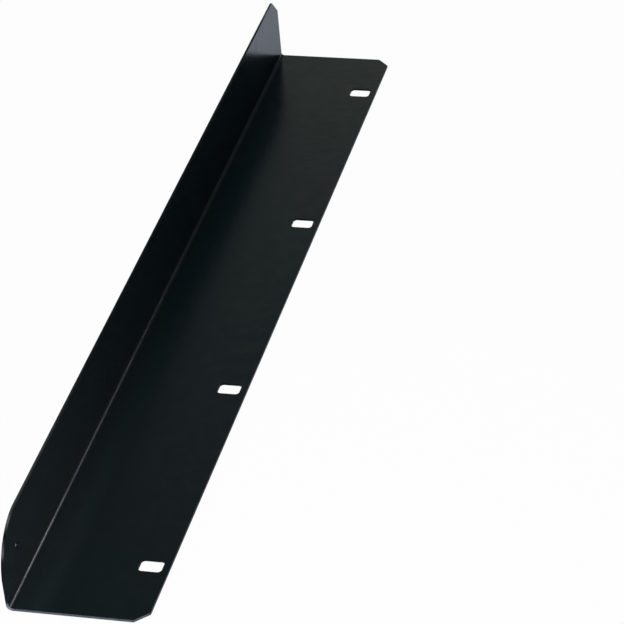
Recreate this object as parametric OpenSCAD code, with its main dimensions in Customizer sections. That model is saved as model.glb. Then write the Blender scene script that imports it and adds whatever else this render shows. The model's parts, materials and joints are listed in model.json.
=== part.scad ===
// Rack mount ear bracket: one steel sheet, cut to outline, punched and folded once along its length.
// The wide flange lies flat and takes the rack screws. The standing flange rises from its left edge.
// X runs across the wide flange to its free edge, Y along the fold, and Z up.
// The origin is the centre of the wide flange's underside.

/* [Rack spacing] */
// Rack units that the ear spans
rack_units = 11; // [8:1:16]
// Height of one rack unit
unit_h = 44.45; // [40:0.05:50]
// From a rack unit's border to the hole nearest to it
border_to_hole = 6.35; // [5:0.05:8]
// Rack units from each outer slot to the inner slot next to it
slot_step = 3; // [1:1:3]
// How far each end stops short of its rack space
end_clearance = 1.225; // [0.2:0.025:3]

/* [Sheet] */
// Thickness of the sheet
sheet_t = 1.2; // [0.9:0.1:2]
// Inside radius of the fold
fold_inner_r = 1.5; // [0.3:0.1:2.5]

/* [Wide flange] */
// Width from the outside of the fold to the free edge
wide_w = 63; // [50:0.5:90]
// Length of the 45 degree cut across each free corner, along the edge
corner_cut = 6; // [2:0.25:12]

/* [Standing flange] */
// Height from the underside of the wide flange
stand_h = 38.8; // [34:0.2:60]
// Radius of the rounded top corner at the near end
nose_r = 25; // [5:0.5:28]
// Length of the 45 degree cut across the top corner at the far end
tail_cut = 9.5; // [2:0.25:20]

/* [Rack slots] */
// Length of a slot, across the wide flange
slot_len = 10.7; // [9:0.1:14]
// Width of a slot, along the wide flange
slot_w = 8.2; // [6:0.1:9]
// Radius in the corners of a slot
slot_r = 1.9; // [0.5:0.1:2.8]
// From the free edge to the middle of a slot
slot_inset = 8.6; // [8.2:0.1:14]

/* [Small hole] */
// Diameter of the small hole in the standing flange
hole_d = 4; // [2:0.1:6]
// From the near end to the middle of the small hole
hole_from_end = 19.3; // [14:0.1:40]
// From the underside to the middle of the small hole
hole_up = 20.5; // [12:0.1:24]

/* [Hidden] */
$fn = 96;
// A cutter stands this far proud of the face that it cuts
proud = 1;
length = rack_units * unit_h - 2 * end_clearance;
fold_outer_r = fold_inner_r + sheet_t;
outer_x = -wide_w / 2;
free_x = wide_w / 2;
near_y = -length / 2;
far_y = length / 2;
// A slot takes the hole of its rack unit that lies nearer the middle of the ear, so it is border_to_hole
// short of that unit's inner border.
function slot_from_end(units_in) = (units_in + 1) * unit_h - border_to_hole - end_clearance;

// Block from the origin towards positive X and Y, with a true arc in place of its corner at the origin.
module round_cornered(w, h, r) {
    translate([r, r])
        circle(r = r);
    translate([r, 0])
        square([w - r, h]);
    translate([0, r])
        square([w, h - r]);
}

// End view of the folded sheet, drawn as (X, Z). The room inside the fold is the same shape, moved by
// the sheet's thickness, with the smaller radius.
module folded_section() {
    translate([outer_x, 0])
        difference() {
            round_cornered(wide_w, stand_h, fold_outer_r);
            translate([sheet_t, sheet_t])
                round_cornered(wide_w, stand_h, fold_inner_r);
        }
}

// The sheet after folding, before any cut.
module folded_sheet() {
    rotate([90, 0, 0])
        linear_extrude(height = length, center = true)
            folded_section();
}

// Square on its point. Centred on a corner, it cuts that corner at 45 degrees, reach along each edge.
module corner_cutter(reach) {
    rotate(45)
        square(reach * sqrt(2), center = true);
}

// Rounded rectangle centred on the origin, from squares and circles so its corners are true arcs.
module slot_outline() {
    straight_x = slot_len - 2 * slot_r;
    straight_y = slot_w - 2 * slot_r;
    square([slot_len, straight_y], center = true);
    square([straight_x, slot_w], center = true);
    for (x = [-1, 1], y = [-1, 1])
        translate([x * straight_x / 2, y * straight_y / 2])
            circle(r = slot_r);
}

// Cuts through the wide flange, drawn from above: two slots and a cut corner at each end.
module wide_flange_cuts() {
    translate([0, 0, -proud])
        linear_extrude(height = sheet_t + 2 * proud)
            for (end = [-1, 1]) {
                for (units_in = [0, slot_step])
                    translate([free_x - slot_inset, end * (far_y - slot_from_end(units_in))])
                        slot_outline();
                translate([free_x, end * far_y])
                    corner_cutter(corner_cut);
            }
}

// What the round nose leaves off the top corner at the near end, drawn as (Y, Z).
module nose_cutter() {
    difference() {
        translate([near_y - proud, stand_h - nose_r])
            square(nose_r + proud);
        translate([near_y + nose_r, stand_h - nose_r])
            circle(r = nose_r);
    }
}

// Cuts through the standing flange, drawn as (Y, Z) and turned upright: round nose and cut tail.
module stand_flange_cuts() {
    translate([outer_x - proud, 0, 0])
        rotate([90, 0, 90])
            linear_extrude(height = sheet_t + 2 * proud) {
                nose_cutter();
                translate([far_y, stand_h])
                    corner_cutter(tail_cut);
            }
}

// Small hole through the standing flange, behind its round nose.
module small_hole() {
    translate([outer_x - proud, near_y + hole_from_end, hole_up])
        rotate([0, 90, 0])
            cylinder(h = sheet_t + 2 * proud, d = hole_d);
}

// The whole ear, in semi-gloss black paint.
module bracket() {
    color([0.11, 0.12, 0.125])
        difference() {
            folded_sheet();
            wide_flange_cuts();
            stand_flange_cuts();
            small_hole();
        }
}

bracket();
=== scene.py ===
# %% [markdown]
# # A rack mount ear in black paint
# The real ear is one steel sheet: cut to its outline, punched, folded once and painted. The packed
# part gives its true size and place. This lesson rebuilds the sheet with finer edges, paints it and
# lights it. Everything is in metres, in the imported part's own frame: +Y runs along the fold.

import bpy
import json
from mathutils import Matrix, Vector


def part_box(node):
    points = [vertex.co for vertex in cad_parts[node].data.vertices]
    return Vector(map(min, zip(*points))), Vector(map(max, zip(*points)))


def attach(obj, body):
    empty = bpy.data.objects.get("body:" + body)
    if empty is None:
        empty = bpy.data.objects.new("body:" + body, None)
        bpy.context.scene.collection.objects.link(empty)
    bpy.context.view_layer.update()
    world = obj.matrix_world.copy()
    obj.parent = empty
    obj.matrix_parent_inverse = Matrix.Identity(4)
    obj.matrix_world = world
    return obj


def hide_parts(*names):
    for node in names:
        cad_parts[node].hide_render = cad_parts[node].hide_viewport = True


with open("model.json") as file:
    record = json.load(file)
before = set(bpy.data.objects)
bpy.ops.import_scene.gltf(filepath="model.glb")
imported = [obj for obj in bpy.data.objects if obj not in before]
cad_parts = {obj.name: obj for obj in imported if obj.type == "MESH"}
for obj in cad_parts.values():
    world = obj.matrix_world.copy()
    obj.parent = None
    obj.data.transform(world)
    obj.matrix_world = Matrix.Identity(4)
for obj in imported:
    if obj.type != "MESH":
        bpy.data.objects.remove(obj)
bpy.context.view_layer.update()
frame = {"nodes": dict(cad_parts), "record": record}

# %% Modules and the one unit
import json
import math

import bmesh
import bpy
from mathutils import Matrix, Vector

MM = 0.001

# %% [markdown]
# ## Camera
# A long lens from about a metre and a half keeps the two long edges almost parallel. The camera looks
# down on the wide flange from its open side, so that both inner faces show, and leans a little.
# The place and the aim are points in the part's frame, and the lean is a turn about the line of sight.

# %% Camera
CAMERA_PLACE = Vector((0.38893, -1.16658, 0.80878))
CAMERA_AIM = Vector((0.04619, -0.00375, 0.0))
CAMERA_LEAN = math.radians(-5.3077)
CAMERA_LENS = 172.75
CAMERA_SEES_TO = 100


def looking(place, aim, lean=0.0):
    """Matrix of a camera or lamp at place that looks at aim, turned by lean about its line of sight."""
    ahead = (aim - place).normalized()
    right = ahead.cross(Vector((0, 0, 1))).normalized()
    turn = Matrix.Rotation(-lean, 3, ahead)
    right = turn @ right
    up = right.cross(ahead)
    axes = Matrix((right, up, -ahead)).transposed()
    return Matrix.Translation(place) @ axes.to_4x4()


camera_data = bpy.data.cameras.new("camera")
camera_data.lens = CAMERA_LENS
camera_data.clip_end = CAMERA_SEES_TO
camera = bpy.data.objects.new("camera", camera_data)
camera.matrix_world = looking(CAMERA_PLACE, CAMERA_AIM, CAMERA_LEAN)
bpy.context.scene.collection.objects.link(camera)
bpy.context.scene.camera = camera
print("camera is", round((CAMERA_AIM - CAMERA_PLACE).length, 3), "m from its aim")

# %% [markdown]
# ## The sheet's sizes
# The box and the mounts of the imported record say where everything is: the faces give the sheet's
# thickness, and each slot and the small hole has its centre and size. Only the radii and the cuts at
# the corners and the tail are given here. Paint gathers in a small hole, so a film on its wall makes
# it a little narrower, and less white shows through it.

# %% Sizes of the sheet
low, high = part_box("bracket")
mounts = {m["name"]: m for m in frame["record"]["mounts"]}
SHEET = mounts["rail_face"]["pos_m"][2]
FOLD_INNER_R = 1.5 * MM
FOLD_OUTER_R = FOLD_INNER_R + SHEET
CORNER_CUT = 6 * MM
TAIL_CUT = 9.5 * MM
NOSE_R = 25 * MM
SLOT_CORNER_R = 1.9 * MM
FILM_IN_HOLE = 0.15 * MM
slots = [m for name, m in sorted(mounts.items()) if name.endswith("_slot")]
hole = mounts["small_hole"]
print("sheet", round(SHEET / MM, 2), "mm,", len(slots), "slots")

# %% [markdown]
# ## Flat blank
# A sheet-metal part is drawn flat and folded afterwards, and the mesh can be made the same way. Along
# the blank, u is measured on the sheet's outer face, from the free edge of the wide flange, round the
# outside of the fold, up to the top of the standing flange. v runs along the fold. Working on one flat
# drawing keeps the holes and the outline simple, and the fold is a formula that is applied later.

# %% Fold: from the blank to the part's frame
WIDE_FLAT = high.x - low.x - FOLD_OUTER_R
FOLD_RUN = FOLD_OUTER_R * math.pi / 2
BLANK_W = WIDE_FLAT + FOLD_RUN + high.z - FOLD_OUTER_R


def folded(u, v):
    """Place in the part's frame of the blank's point (u, v)."""
    if u <= WIDE_FLAT:
        return Vector((high.x - u, v, 0))
    turned = min((u - WIDE_FLAT) / FOLD_OUTER_R, math.pi / 2)
    x = low.x + FOLD_OUTER_R * (1 - math.sin(turned))
    z = FOLD_OUTER_R * (1 - math.cos(turned))
    return Vector((x, v, z + max(0.0, u - WIDE_FLAT - FOLD_RUN)))


def up_the_flange(z):
    """Blank's u of a height on the standing flange."""
    return WIDE_FLAT + FOLD_RUN + z - FOLD_OUTER_R


print("blank is", round(BLANK_W / MM, 2), "by", round((high.y - low.y) / MM, 2), "mm")

# %% Outline and holes of the blank
NOSE_STEPS = 40
SLOT_STEPS = 10
HOLE_STEPS = 40


def arc(centre, radius, start, end, steps):
    """Points on an arc about centre, from start to end in degrees, both included."""
    turns = [math.radians(start + (end - start) * i / steps) for i in range(steps + 1)]
    return [(centre[0] + radius * math.cos(t), centre[1] + radius * math.sin(t)) for t in turns]


def blank_outline():
    """Outer loop of the blank: two cut corners, a cut tail and a round nose."""
    loop = [(0, low.y + CORNER_CUT), (CORNER_CUT, low.y)]
    loop += arc((BLANK_W - NOSE_R, low.y + NOSE_R), NOSE_R, -90, 0, NOSE_STEPS)
    loop += [(BLANK_W, high.y - TAIL_CUT), (BLANK_W - TAIL_CUT, high.y)]
    loop += [(CORNER_CUT, high.y), (0, high.y - CORNER_CUT)]
    return loop


def slot_loop(slot):
    """Rounded rectangle of one slot, as long and as wide as the record says."""
    u, v = high.x - slot["pos_m"][0], slot["pos_m"][1]
    reach_u = slot["dims"]["slot_length_mm"] * MM / 2 - SLOT_CORNER_R
    reach_v = slot["dims"]["hole_r_mm"] * MM - SLOT_CORNER_R
    loop = []
    for quarter, (along, across) in enumerate([(1, 1), (-1, 1), (-1, -1), (1, -1)]):
        centre = (u + along * reach_u, v + across * reach_v)
        loop += arc(centre, SLOT_CORNER_R, 90 * quarter, 90 * quarter + 90, SLOT_STEPS)
    return loop


def hole_loop():
    """Circle of the small hole in the standing flange, with the paint on its wall."""
    centre = (up_the_flange(hole["pos_m"][2]), hole["pos_m"][1])
    radius = hole["dims"]["r_mm"] * MM - FILM_IN_HOLE
    return arc(centre, radius, 0, 360, HOLE_STEPS)[:-1]


loops = [blank_outline()] + [slot_loop(slot) for slot in slots] + [hole_loop()]
print("loops:", len(loops), "points:", sum(len(loop) for loop in loops))

# %% [markdown]
# A 2-D curve fills a closed line and leaves each closed line inside it open, which is just what a
# punched blank is. Its fill becomes a mesh. Cuts across the mesh then give the fold its steps, and
# the needless edges of the flat parts are dissolved.

# %% Blank as a mesh
def filled(loops):
    """Flat mesh of the area inside the first loop and outside the others."""
    curve = bpy.data.curves.new("blank", "CURVE")
    curve.dimensions = "2D"
    curve.fill_mode = "BOTH"
    for loop in loops:
        spline = curve.splines.new("POLY")
        spline.points.add(len(loop) - 1)
        for point, (u, v) in zip(spline.points, loop):
            point.co = (u, v, 0, 1)
        spline.use_cyclic_u = True
    drawn = bpy.data.objects.new("blank", curve)
    bpy.context.scene.collection.objects.link(drawn)
    bpy.context.view_layer.update()
    mesh = bpy.data.meshes.new_from_object(drawn)
    bpy.data.objects.remove(drawn)
    bpy.data.curves.remove(curve)
    return mesh


def cut_across(blank, u=None, v=None):
    """Cuts the flat mesh along the line at that u or v and marks the new edges as seams."""
    point = (u or 0, v or 0, 0)
    normal = (0, 1, 0) if u is None else (1, 0, 0)
    everything = blank.verts[:] + blank.edges[:] + blank.faces[:]
    cut = bmesh.ops.bisect_plane(blank, geom=everything, plane_co=point, plane_no=normal)
    for item in cut["geom_cut"]:
        if isinstance(item, bmesh.types.BMEdge):
            item.seam = True


blank_mesh = filled(loops)
print("filled blank:", len(blank_mesh.vertices), "points", len(blank_mesh.polygons), "faces")

# %% Fold the blank
FOLD_STEPS = 14
SAME_POINT = 0.001 * MM
SAME_PLANE = math.radians(0.1)


def fold_blank(mesh):
    """Gives the flat mesh its fold lines and folds it, with the sheet's outer face outwards."""
    blank = bmesh.new()
    blank.from_mesh(mesh)
    bmesh.ops.remove_doubles(blank, verts=blank.verts, dist=SAME_POINT)
    for i in range(FOLD_STEPS + 1):
        cut_across(blank, u=WIDE_FLAT + FOLD_RUN * i / FOLD_STEPS)
    for slot in slots:
        cut_across(blank, v=slot["pos_m"][1])
    cut_across(blank, v=hole["pos_m"][1])
    bmesh.ops.dissolve_limit(blank, angle_limit=SAME_PLANE, verts=blank.verts,
                             edges=blank.edges, delimit={"SEAM"})
    for vert in blank.verts:
        vert.co = folded(vert.co.x, vert.co.y)
    bmesh.ops.recalc_face_normals(blank, faces=blank.faces)
    lowest = min(blank.faces, key=lambda face: face.calc_center_median().z)
    if lowest.normal.z > 0:
        bmesh.ops.reverse_faces(blank, faces=blank.faces)
    for face in blank.faces:
        face.smooth = True
    blank.to_mesh(mesh)
    blank.free()


fold_blank(blank_mesh)
ear = bpy.data.objects.new("painted_ear", blank_mesh)
bpy.context.scene.collection.objects.link(ear)
print("folded:", len(blank_mesh.polygons), "faces")

# %% [markdown]
# ## Thickness and edges
# Solidify gives the sheet its thickness towards the inside of the fold. A punched edge is never sharp
# once it is painted: the paint rounds it by a tenth or two of a millimetre. A Bevel that takes only
# edges near a right angle stands for that, and leaves the fold alone. It is asked for 0.15 mm, but its
# guard against overlap holds it back: at the free edge it comes out at 0.02 mm, nearly sharp. Without
# the guard it is 0.15 mm there, but four edges of the mesh stay open.

# %% Thickness and painted edges
EDGE_ROUND = 0.15 * MM
ROUND_SEGMENTS = 3
SHARP_FROM = math.radians(60)

solidify = ear.modifiers.new("sheet_thickness", "SOLIDIFY")
solidify.thickness = SHEET
solidify.offset = -1
solidify.use_even_offset = True
bevel = ear.modifiers.new("painted_edges", "BEVEL")
bevel.width = EDGE_ROUND
bevel.segments = ROUND_SEGMENTS
bevel.limit_method = "ANGLE"
bevel.angle_limit = SHARP_FROM
bevel.harden_normals = True

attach(ear, "root")
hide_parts("bracket")


def measured(piece):
    """Triangles, volume in cubic millimetres and open edges of a piece with its modifiers."""
    graph = bpy.context.evaluated_depsgraph_get()
    solid = bmesh.new()
    solid.from_mesh(piece.evaluated_get(graph).to_mesh())
    bmesh.ops.triangulate(solid, faces=solid.faces)
    open_edges = sum(not edge.is_manifold for edge in solid.edges)
    result = len(solid.faces), solid.calc_volume() / MM**3, open_edges
    solid.free()
    return result


for piece in (ear, frame["nodes"]["bracket"]):
    print(piece.name, "triangles %d, volume %.0f mm3, open edges %d" % measured(piece))

# %% [markdown]
# ## Black paint
# Semi-gloss black paint is almost black by itself, and nearly all that shows on it is reflection.
# So the base colour is dark and slightly green-blue, and the look is made by the roughness and by
# fine waves in the film, called orange peel.

# %% Shader helpers
def new_material(name):
    """Material whose tree holds its output and a Principled shader, with that tree and shader."""
    material = bpy.data.materials.new(name)
    material.use_nodes = True
    shader = material.node_tree.nodes["Principled BSDF"]
    return material, material.node_tree, shader


def add(tree, kind, inputs=None, **settings):
    """New node of that kind with its settings and its unlinked inputs set."""
    node = tree.nodes.new(kind)
    for name, value in settings.items():
        setattr(node, name, value)
    for name, value in (inputs or {}).items():
        node.inputs[name].default_value = value
    return node


def faded(tree, value, start, end, first=1.0, last=0.0, smooth=True):
    """Output that goes from first to last while the value goes from start to end."""
    way = "SMOOTHSTEP" if smooth else "LINEAR"
    ends = {"From Min": start, "From Max": end, "To Min": first, "To Max": last}
    fade = add(tree, "ShaderNodeMapRange", ends, interpolation_type=way)
    tree.links.new(value, fade.inputs["Value"])
    return fade.outputs["Result"]


def combined(tree, how, first, second):
    """Output of a Math node that joins two outputs."""
    joined = add(tree, "ShaderNodeMath", operation=how)
    tree.links.new(first, joined.inputs[0])
    tree.links.new(second, joined.inputs[1])
    return joined.outputs[0]


def distance_from(tree, place, point):
    """Output that says how far a place is from a point."""
    away = add(tree, "ShaderNodeVectorMath", {1: point}, operation="DISTANCE")
    tree.links.new(place, away.inputs[0])
    return away.outputs["Value"]


# %% [markdown]
# ## Paint film
# A sprayed coat is thinner in a tight corner and on a cut edge, where a little of the steel's shine
# comes through. The same thin places also carry painted highlights: they count in full at the rounded
# end, where the light is strongest, and fade along the ear. One node group turns a thinness, 0 for a
# full coat and 1 for bare steel, into a colour and a metal share. It also gives an uneven roughness and
# the height of the orange peel, which don't depend on the thinness. The faces and the cut edges share
# the group, so they stay the same paint. Patches break the thin places up, and clouds make the gloss
# uneven.

# %% Paint film
PAINT_COLOUR = (0.0014, 0.0048, 0.0070, 1)
STEEL_COLOUR = (0.42, 0.42, 0.47, 1)
PAINT_IOR = 1.5
SHINE_THROUGH = 0.3
GLOSS = (0.18, 0.24)
CLOUDS = {"Scale": 150, "Detail": 4.0}
CLOUD_SPREAD = (0.3, 0.7)
PATCHES = {"Scale": 140, "Detail": 3.0}
PATCH_SPREAD = (0.3, 0.6)
PATCH_LEAST = 0.6
PEEL = {"Scale": 420, "Detail": 2.0}
PEEL_HEIGHT = 0.1 * MM
# Painted sheen: the thin places count in full at the rounded end and fade out over this length, since
# the light is strongest at that end.
PAINTED_SHEEN_UP_TO = 80 * MM
PAINTED_SHEEN_BEYOND = 0.05


def paint_film():
    """Node group that says how the film looks where it is thinner, and where it paints a highlight.

    Its input is 0 for a full coat and 1 for steel with no paint. It counts in full at the rounded end,
    and less and less towards the other one. That fade is painted light: the highlights it makes are
    brightest where the light is strongest.
    """
    group = bpy.data.node_groups.new("paint_film", "ShaderNodeTree")
    group.interface.new_socket("Thin", in_out="INPUT", socket_type="NodeSocketFloat")
    group.interface.new_socket("Colour", in_out="OUTPUT", socket_type="NodeSocketColor")
    for name in ("Metal", "Roughness", "Height"):
        group.interface.new_socket(name, in_out="OUTPUT", socket_type="NodeSocketFloat")
    given = add(group, "NodeGroupInput")
    result = add(group, "NodeGroupOutput")
    place = add(group, "ShaderNodeTexCoord")
    axes = add(group, "ShaderNodeSeparateXYZ")
    patches = add(group, "ShaderNodeTexNoise", PATCHES)
    cloud = add(group, "ShaderNodeTexNoise", CLOUDS)
    peel = add(group, "ShaderNodeTexNoise", PEEL)
    colour = add(group, "ShaderNodeMix", {6: PAINT_COLOUR, 7: STEEL_COLOUR}, data_type="RGBA")
    shine = add(group, "ShaderNodeMath", {1: SHINE_THROUGH}, operation="POWER")
    link = group.links.new
    link(place.outputs["Object"], axes.inputs[0])
    for noise in (patches, cloud, peel):
        link(place.outputs["Object"], noise.inputs["Vector"])
    sheen_at_end = faded(group, axes.outputs["Y"], low.y, PAINTED_SHEEN_UP_TO, 1.0, PAINTED_SHEEN_BEYOND)
    patchy = faded(group, patches.outputs["Fac"], *PATCH_SPREAD, PATCH_LEAST, 1.0, smooth=False)
    gloss = faded(group, cloud.outputs["Fac"], *CLOUD_SPREAD, *GLOSS, smooth=False)
    thin_and_sheen_here = combined(group, "MULTIPLY", given.outputs["Thin"], sheen_at_end)
    shown = combined(group, "MULTIPLY", thin_and_sheen_here, patchy)
    link(shown, colour.inputs[0])
    link(shown, shine.inputs[0])
    link(colour.outputs[2], result.inputs["Colour"])
    link(shine.outputs[0], result.inputs["Metal"])
    link(gloss, result.inputs["Roughness"])
    link(peel.outputs["Fac"], result.inputs["Height"])
    return group


PAINT_FILM = paint_film()


def painted(name, peel_depth):
    """Material with the paint film in it, and the group's node for its Thin input."""
    material, tree, shader = new_material(name)
    film = add(tree, "ShaderNodeGroup", node_tree=PAINT_FILM)
    bump = add(tree, "ShaderNodeBump", {"Strength": peel_depth, "Distance": PEEL_HEIGHT})
    link = tree.links.new
    link(film.outputs["Colour"], shader.inputs["Base Color"])
    link(film.outputs["Metal"], shader.inputs["Metallic"])
    link(film.outputs["Roughness"], shader.inputs["Roughness"])
    link(film.outputs["Height"], bump.inputs["Height"])
    link(bump.outputs["Normal"], shader.inputs["Normal"])
    shader.inputs["IOR"].default_value = PAINT_IOR
    return material, film


print("paint film gives:", [socket.name for socket in PAINT_FILM.interface.items_tree])

# %% [markdown]
# ## Paint of the faces
# The bright line along the fold is partly where the coat is thinnest, in the inside corner, and partly
# a painted highlight. It is a mask: a narrow ridge about a line in that corner, full near the rounded
# end and weaker from there on, as the fold's highlight is. The line's place, across and up, and the
# ridge's two sizes are shares of the fold's inner radius. They were set one by one, so the mask says
# nothing about how large that radius is.

# %% Paint of the faces
FACE_PEEL = 0.35
# Painted highlight along the fold: the share of paler, metal-like paint there. It is full near the
# rounded end, with a smaller share at the far end.
FOLD_THIN_AND_SHEEN = 0.75
FOLD_SHEEN_FAR_SHARE = 0.4
FOLD_FADE = (48 * MM, 88 * MM)
RIDGE = (0.1 * FOLD_INNER_R, 0.45 * FOLD_INNER_R)
LINE_ACROSS = 0.23 * FOLD_INNER_R
LINE_UP = 0.36 * FOLD_INNER_R
FOLD_CORNER = Vector((low.x + SHEET + LINE_ACROSS, low.y, SHEET + LINE_UP))


def face_paint():
    """Black paint of the two flanges, thinner in the corner of the fold, where it paints the fold's
    highlight.
    """
    material, film = painted("face_paint", FACE_PEEL)
    tree = material.node_tree
    place = add(tree, "ShaderNodeTexCoord")
    axes = add(tree, "ShaderNodeSeparateXYZ")
    across = add(tree, "ShaderNodeVectorMath", {1: (1, 0, 1)}, operation="MULTIPLY")
    tree.links.new(place.outputs["Object"], across.inputs[0])
    tree.links.new(place.outputs["Object"], axes.inputs[0])
    away = distance_from(tree, across.outputs[0], (FOLD_CORNER.x, 0, FOLD_CORNER.z))
    corner = faded(tree, away, *RIDGE)
    start, end = (low.y + y for y in FOLD_FADE)
    far_thin_and_sheen = FOLD_THIN_AND_SHEEN * FOLD_SHEEN_FAR_SHARE
    along = faded(tree, axes.outputs["Y"], start, end, FOLD_THIN_AND_SHEEN, far_thin_and_sheen)
    tree.links.new(combined(tree, "MULTIPLY", corner, along), film.inputs["Thin"])
    return material


# %% [markdown]
# ## Paint of the cut edges
# A sheared edge holds paint badly, and here the thin coat also paints highlights. The coat is thin low
# on the rounded end's cut edge and along the nearer half of the top rim, which makes those edges
# lighter where the light catches them. Two painted glints sit where the fold ends and high on the nose.
# The first two are masks made of a fade along the ear and a fade up it. The glints fade with the
# distance from their middle. The strongest mask counts. The cut edges mirror less than the faces.

# %% Paint of the cut edges
EDGE_PEEL = 0.02
EDGE_MIRROR = 0.1
# Painted highlights on the cut edges: how thin the coat is made low on the rounded end's cut face and
# along the near half of the top rim.
END_CUT_THIN_AND_SHEEN = 0.42
END_FADE = (4 * MM, 30 * MM)
LOW_DOWN = 4 * MM
RIM_THIN_AND_SHEEN = 0.2
RIM_FADE = (20 * MM, 160 * MM)
RIM_DEPTH = (1 * MM, 5 * MM)
NOSE_SPOT = Vector((low.x, low.y + 5 * MM, 29 * MM))
SPOT_CORE = 0.3
# Two painted glints, each with its middle, its reach and its strength: one where the fold ends and one
# high on the nose.
PAINTED_GLINTS = ((FOLD_CORNER, 3 * MM, 1.0), (NOSE_SPOT, 6 * MM, 0.08))


def edge_paint():
    """Black paint of the sheared edges and of the walls of the holes, with painted highlights and two
    painted glints.
    """
    material, film = painted("edge_paint", EDGE_PEEL)
    tree = material.node_tree
    place = add(tree, "ShaderNodeTexCoord")
    axes = add(tree, "ShaderNodeSeparateXYZ")
    tree.links.new(place.outputs["Object"], axes.inputs[0])
    start, end = (low.y + y for y in END_FADE)
    end_cut = faded(tree, axes.outputs["Y"], start, end, END_CUT_THIN_AND_SHEEN)
    low_down = faded(tree, axes.outputs["Z"], SHEET, SHEET + LOW_DOWN)
    start, end = (low.y + y for y in RIM_FADE)
    near_half = faded(tree, axes.outputs["Y"], start, end, RIM_THIN_AND_SHEEN)
    start, end = (high.z - depth for depth in RIM_DEPTH)
    high_up = faded(tree, axes.outputs["Z"], start, end)
    edge_thin_and_sheen = combined(tree, "MAXIMUM", combined(tree, "MULTIPLY", end_cut, low_down),
                    combined(tree, "MULTIPLY", near_half, high_up))
    for spot, reach, glint_share in PAINTED_GLINTS:
        away = distance_from(tree, place.outputs["Object"], spot)
        glint = faded(tree, away, SPOT_CORE * reach, reach, glint_share)
        edge_thin_and_sheen = combined(tree, "MAXIMUM", edge_thin_and_sheen, glint)
    tree.links.new(edge_thin_and_sheen, film.inputs["Thin"])
    shader = tree.nodes["Principled BSDF"]
    shader.inputs["Specular IOR Level"].default_value = EDGE_MIRROR
    return material


ear.data.materials.append(face_paint())
ear.data.materials.append(edge_paint())
solidify.material_offset_rim = 1
print("finishes:", [material.name for material in ear.data.materials])

# %% [markdown]
# ## Floor
# The floor is a plain sheet. To the camera it is nearly all white, with a little real light and so a
# soft contact shadow. In the paint's reflections it is a bluish light grey that is mostly real light,
# so the shadow beside the ear is mirrored too. No real floor does both, so this is a studio trick.

# %% Floor
FLOOR_REACH = 12.0
FLOOR_SEEN = 0.94
FLOOR_MIRRORED = 0.1
FLOOR_ROUGHNESS = 0.9
FLOOR_GREY = (0.68, 0.73, 0.88, 1)
FLOOR_WHITE = (0.9, 0.9, 0.9, 1)


def white_floor():
    """Floor that looks white to the camera and light grey in reflections, with soft shadows."""
    material, tree, shader = new_material("white_floor")
    shader.inputs["Roughness"].default_value = FLOOR_ROUGHNESS
    shader.inputs["Specular IOR Level"].default_value = 0.0
    glow = add(tree, "ShaderNodeEmission", {"Strength": 1.0})
    path = add(tree, "ShaderNodeLightPath")
    tone = add(tree, "ShaderNodeMix", {6: FLOOR_GREY, 7: FLOOR_WHITE}, data_type="RGBA")
    mirrored_share = add(tree, "ShaderNodeMath", {1: FLOOR_MIRRORED}, operation="MULTIPLY")
    seen_share = add(tree, "ShaderNodeMath", {1: FLOOR_SEEN}, operation="MULTIPLY")
    mix = add(tree, "ShaderNodeMixShader")
    link = tree.links.new
    link(path.outputs["Is Camera Ray"], tone.inputs[0])
    link(tone.outputs[2], shader.inputs["Base Color"])
    mirrored = combined(tree, "MAXIMUM", path.outputs["Is Glossy Ray"],
                        path.outputs["Is Transmission Ray"])
    link(mirrored, mirrored_share.inputs[0])
    link(path.outputs["Is Camera Ray"], seen_share.inputs[0])
    share = combined(tree, "MAXIMUM", mirrored_share.outputs[0], seen_share.outputs[0])
    link(share, mix.inputs["Fac"])
    link(shader.outputs[0], mix.inputs[1])
    link(glow.outputs[0], mix.inputs[2])
    link(mix.outputs[0], tree.nodes["Material Output"].inputs["Surface"])
    return material


floor_mesh = bpy.data.meshes.new("floor")
corners = [(x * FLOOR_REACH, y * FLOOR_REACH, 0) for x, y in ((-1, -1), (1, -1), (1, 1), (-1, 1))]
floor_mesh.from_pydata(corners, [], [(0, 1, 2, 3)])
floor_mesh.materials.append(white_floor())
floor = bpy.data.objects.new("floor", floor_mesh)
bpy.context.scene.collection.objects.link(floor)
print("floor is", 2 * FLOOR_REACH, "m wide")

# %% [markdown]
# ## Soft lamps
# Glossy black shows its surroundings, so each lamp is placed for what it mirrors. The one at the far
# right brightens the wide flange's far end, the low strip lights the near end of the fold, and the
# large one on the right lifts the wide flange. Those overhead and in front give plain light from the
# camera's side. The camera doesn't see them, but the paint does.

# %% Soft lamps
ROOM_TINT = (0.86, 1.0, 0.93)
STRIP_TINT = (0.92, 0.95, 1.0)
RIGHT_TINT = (0.82, 1.0, 0.98)


def softbox(name, turn, rise, away, size, brightness, tint=(1, 1, 1)):
    """Area lamp that faces the ear from a compass turn and a rise in degrees.

    The turn is counted from +Y towards +X. The size is in metres. Brightness is what a mirror would
    show: 1 is as bright as white paper in plain light.
    """
    data = bpy.data.lights.new(name, "AREA")
    data.shape = "RECTANGLE"
    data.size, data.size_y = size
    data.energy = brightness * size[0] * size[1] * math.pi
    data.color = tint
    lamp = bpy.data.objects.new(name, data)
    turn, rise = math.radians(turn), math.radians(rise)
    flat = math.cos(rise)
    place = Vector((math.sin(turn) * flat, math.cos(turn) * flat, math.sin(rise))) * away
    lamp.matrix_world = looking(place, Vector((0, 0, 0)))
    lamp.visible_camera = False
    bpy.context.scene.collection.objects.link(lamp)
    return lamp


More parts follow.
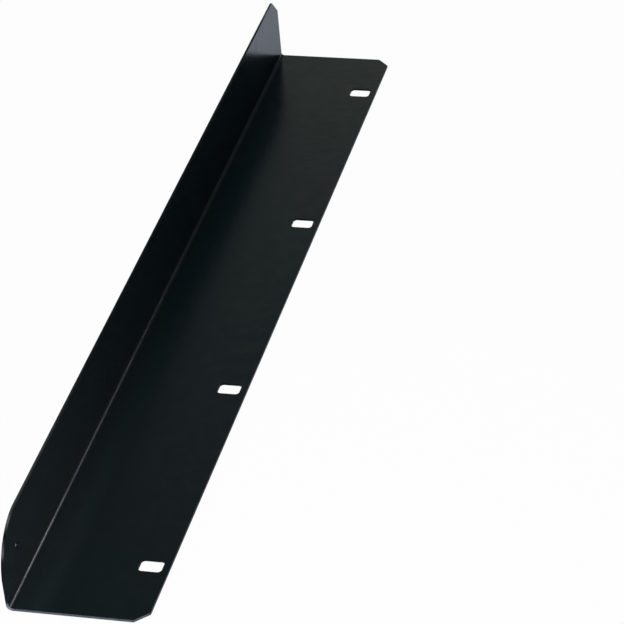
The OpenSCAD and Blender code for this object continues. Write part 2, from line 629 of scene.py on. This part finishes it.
lamps = [
    softbox("right_back_softbox", turn=33, rise=42.5, away=2.0, size=(0.62, 0.42),
            brightness=1.8, tint=RIGHT_TINT),
    softbox("low_right_strip", turn=43, rise=15, away=2.0, size=(0.28, 0.3),
            brightness=2.5, tint=STRIP_TINT),
    softbox("right_softbox", turn=78, rise=27, away=2.5, size=(2.2, 2.2),
            brightness=0.8, tint=RIGHT_TINT),
    softbox("overhead_softbox", turn=180, rise=80, away=1.6, size=(1.1, 1.1), brightness=4.3),
    softbox("front_softbox", turn=195, rise=22, away=1.3, size=(0.9, 0.45), brightness=4.0),
]
print("lamps:", [lamp.name for lamp in lamps])

# %% [markdown]
# ## Room
# The rest of the room is the world's light. In reflections it is a dim grey on the ear's left, paler
# towards the horizon, and dark on its right but for a faint low band that lights the fold's line.
# The camera sees plain near-white instead, so that the floor and the room make one pale background.

# %% Room
LOW_TINT = (0.93, 1.0, 0.88)
LOW_SHARE = 0.22
LOW_BAND = (0.2, 0.3)
LEFT_SIDE = (math.radians(8), math.radians(14))
BAND_SIDE = (math.radians(50), math.radians(60))
ROOM_SEEN = (0.975, 0.975, 0.975, 1)
ROOM_STOPS = (
    (0.0, 0.55, LOW_TINT),
    (0.40, 0.60, LOW_TINT),
    (0.475, 0.26, LOW_TINT),
    (0.51, 0.135, ROOM_TINT),
    (0.55, 0.104, ROOM_TINT),
    (0.63, 0.095, ROOM_TINT),
    (1.0, 0.07, ROOM_TINT),
)


def grey_by_height(tree):
    """Colour ramp with the room's grey, from the horizon at 0 to straight up at 1.

    Each new stop starts in the middle and is then moved to its place.
    """
    ramp = add(tree, "ShaderNodeValToRGB")
    elements = ramp.color_ramp.elements
    while len(elements) < len(ROOM_STOPS):
        elements.new(0.5)
    for element, (position, grey, tint) in zip(elements, ROOM_STOPS):
        element.position = position
        element.color = (*[grey * share for share in tint], 1)
    return ramp


def room_light():
    """World with a lit left side, paler when low, and a dark right side with a faint low band."""
    world = bpy.data.worlds.new("room")
    world.use_nodes = True
    tree = world.node_tree
    place = add(tree, "ShaderNodeTexCoord")
    axes = add(tree, "ShaderNodeSeparateXYZ")
    rise = grey_by_height(tree)
    path = add(tree, "ShaderNodeLightPath")
    seen = add(tree, "ShaderNodeMix", {7: ROOM_SEEN}, data_type="RGBA")
    both = add(tree, "ShaderNodeMix", {"Factor": 1.0}, data_type="RGBA", blend_type="MULTIPLY")
    link = tree.links.new
    link(place.outputs["Generated"], axes.inputs[0])
    link(axes.outputs["Z"], rise.inputs["Fac"])
    turn = combined(tree, "ARCTAN2", axes.outputs["X"], axes.outputs["Y"])
    left = faded(tree, turn, *LEFT_SIDE, smooth=False)
    beside = faded(tree, turn, *BAND_SIDE, LOW_SHARE, smooth=False)
    low_band = faded(tree, axes.outputs["Z"], *LOW_BAND, smooth=False)
    faint = combined(tree, "MULTIPLY", beside, low_band)
    lit = combined(tree, "MAXIMUM", left, faint)
    link(rise.outputs["Color"], both.inputs[6])
    link(lit, both.inputs[7])
    link(path.outputs["Is Camera Ray"], seen.inputs[0])
    link(both.outputs[2], seen.inputs[6])
    link(seen.outputs[2], tree.nodes["Background"].inputs["Color"])
    return world


bpy.context.scene.world = room_light()
bpy.context.scene.view_settings.view_transform = "Standard"
print("room is", bpy.context.scene.world.name)
